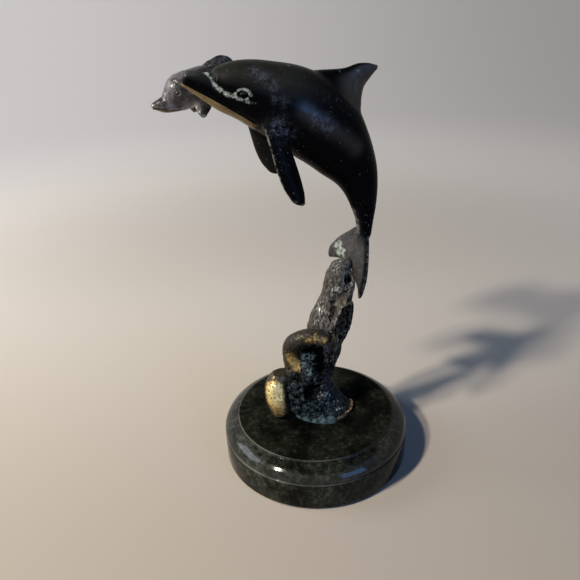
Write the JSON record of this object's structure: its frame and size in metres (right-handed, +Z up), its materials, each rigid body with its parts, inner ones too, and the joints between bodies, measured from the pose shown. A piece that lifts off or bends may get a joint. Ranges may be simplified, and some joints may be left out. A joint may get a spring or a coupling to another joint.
{
  "type": "dolphin figurine",
  "caption": "Patinated brass figurine of a dolphin and her calf leaping from a breaking wave, on a round polished marble base.",
  "frame": {"origin": "centre of the felt's underside, where the figurine rests", "axes": "+Z up, the viewer at -Y, the dolphins' noses towards -X"},
  "size_m": [0.1158, 0.1, 0.2078],
  "materials": {
    "black_patina": "satin",
    "grey_patina": "satin",
    "wave_patina": "matte",
    "bright_brass": "satin",
    "steel": "satin",
    "marble": "polished",
    "felt": "matte"
  },
  "bodies": {
    "root": {"felt_pad": "felt", "marble_base": "marble", "stud_washer": "steel", "stud_nut": "steel", "mounting_stud": "steel", "wave_column": "wave_patina", "front_wave": "wave_patina", "small_wave": "wave_patina", "tail_dowel": "bright_brass", "mother_body": "black_patina", "mother_left_flipper": "black_patina", "mother_right_flipper": "black_patina", "mother_flukes": "grey_patina", "calf_dowel": "bright_brass", "calf_body": "grey_patina", "calf_left_flipper": "grey_patina", "calf_right_flipper": "grey_patina", "calf_flukes": "grey_patina"}
  },
  "joints": []
}
